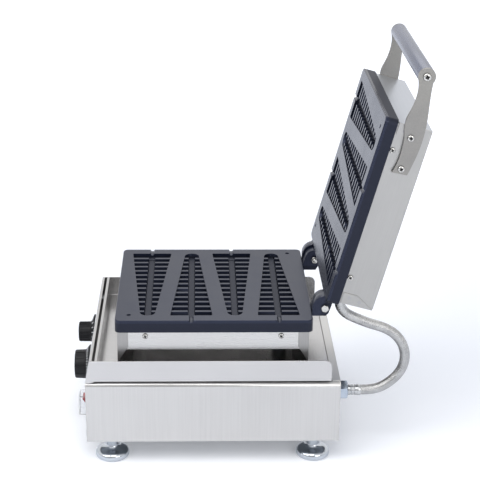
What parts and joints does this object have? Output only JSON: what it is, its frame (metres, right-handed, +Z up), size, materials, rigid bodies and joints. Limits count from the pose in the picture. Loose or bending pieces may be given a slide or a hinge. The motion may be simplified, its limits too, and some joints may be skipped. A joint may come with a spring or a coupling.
{
  "type": "countertop waffle maker",
  "caption": "Countertop waffle iron with tree-shaped cavities, an upper plate that opens on a rear hinge by a bar handle, drip tray, dial controls and levelling feet.",
  "frame": {"origin": "on the bench, midway between the four feet", "axes": "+X across the machine towards the side that carries the hose, +Y from the controls to the hinge, +Z up"},
  "size_m": [0.316, 0.5151, 0.5917],
  "materials": {
    "stainless_sheet": "brushed stainless sheet",
    "arm_steel": "satin flat bar",
    "nonstick_plate": "cast plate with a matte slate non-stick coat",
    "chrome_foot": "polished chrome",
    "fastener_steel": "bright zinc-plated steel",
    "zinc_sheet": "zinc-plated sheet",
    "heater_sheath": "heat-tinted steel tube",
    "mineral_wool": "pressed mineral wool",
    "grip_plastic": "blue-grey moulded plastic",
    "knob_plastic": "black moulded plastic",
    "switch_plastic": "black moulded plastic",
    "rocker_red": "translucent red plastic",
    "clear_cover": "clear soft plastic",
    "control_case": "moulded control case",
    "shaft_brass": "turned brass",
    "ceramic_block": "glazed ceramic",
    "wire_sleeve": "heat-resistant sleeve",
    "hose_braid": "braided stainless wire",
    "fitting_steel": "machined steel",
    "gland_plastic": "black moulded plastic",
    "pad_rubber": "black rubber"
  },
  "bodies": {
    "base": {"base_housing": "stainless_sheet", "front_panel": "stainless_sheet", "rear_panel": "stainless_sheet", "base_bottom_plate": "stainless_sheet", "splash_guard": "stainless_sheet", "drip_tray": "stainless_sheet", "front_support": "stainless_sheet", "rear_support": "stainless_sheet", "lower_housing": "stainless_sheet", "lower_plate": "nonstick_plate", "foot_front_right": "chrome_foot", "foot_front_left": "chrome_foot", "foot_rear_right": "chrome_foot", "foot_rear_left": "chrome_foot", "bottom_screws": "fastener_steel", "foot_nuts": "fastener_steel", "support_screws": "fastener_steel", "lower_housing_screws": "fastener_steel", "lower_clamp_screws": "fastener_steel", "hinge_bolts": "fastener_steel", "hinge_nuts": "fastener_steel", "earth_stud": "fastener_steel", "lower_clamp": "zinc_sheet", "cable_duct": "zinc_sheet", "lower_heater": "heater_sheath", "lower_insulation": "mineral_wool", "switch_body": "switch_plastic", "switch_cover": "clear_cover", "thermostat": "control_case", "timer": "control_case", "thermostat_capillary": "shaft_brass", "terminal_block": "ceramic_block", "wiring": "wire_sleeve", "braided_hose": "hose_braid", "hose_gland": "fitting_steel", "hose_ferrule_lower": "fitting_steel", "power_gland": "gland_plastic", "tray_pads": "pad_rubber"},
    "lid": {"upper_plate": "nonstick_plate", "lid_housing": "stainless_sheet", "lid_front_end": "stainless_sheet", "lid_rear_end": "stainless_sheet", "lid_screws": "fastener_steel", "upper_heater": "heater_sheath", "upper_clamp": "zinc_sheet", "upper_clamp_screws": "fastener_steel", "upper_insulation": "mineral_wool", "handle_arm_right": "arm_steel", "handle_arm_left": "arm_steel", "handle_grip": "grip_plastic", "handle_screws": "fastener_steel", "handle_spacers": "fastener_steel", "grip_screws": "fastener_steel", "hose_ferrule_upper": "fitting_steel", "lid_leads": "wire_sleeve"},
    "thermostat_dial": {"thermostat_knob": "knob_plastic", "thermostat_shaft": "shaft_brass"},
    "timer_dial": {"timer_knob": "knob_plastic", "timer_shaft": "shaft_brass"},
    "rocker": {"switch_rocker": "rocker_red"}
  },
  "joints": [
    {"name": "lid_hinge", "type": "hinge", "parent": "base", "child": "lid", "pos_m": [0, 0.162, 0.2282], "axis": [1, 0, 0], "range_deg": [0, 105], "deforming": ["braided_hose"]},
    {"name": "thermostat_turn", "type": "hinge", "parent": "base", "child": "thermostat_dial", "pos_m": [0, -0.185, 0.085], "axis": [0, 1, 0], "range_deg": [0, 270]},
    {"name": "timer_turn", "type": "hinge", "parent": "base", "child": "timer_dial", "pos_m": [-0.12, -0.185, 0.085], "axis": [0, 1, 0], "range_deg": [0, 300]},
    {"name": "rocker_tilt", "type": "hinge", "parent": "base", "child": "rocker", "pos_m": [0.12, -0.184, 0.08], "axis": [-1, 0, 0], "range_deg": [0, 16]}
  ]
}
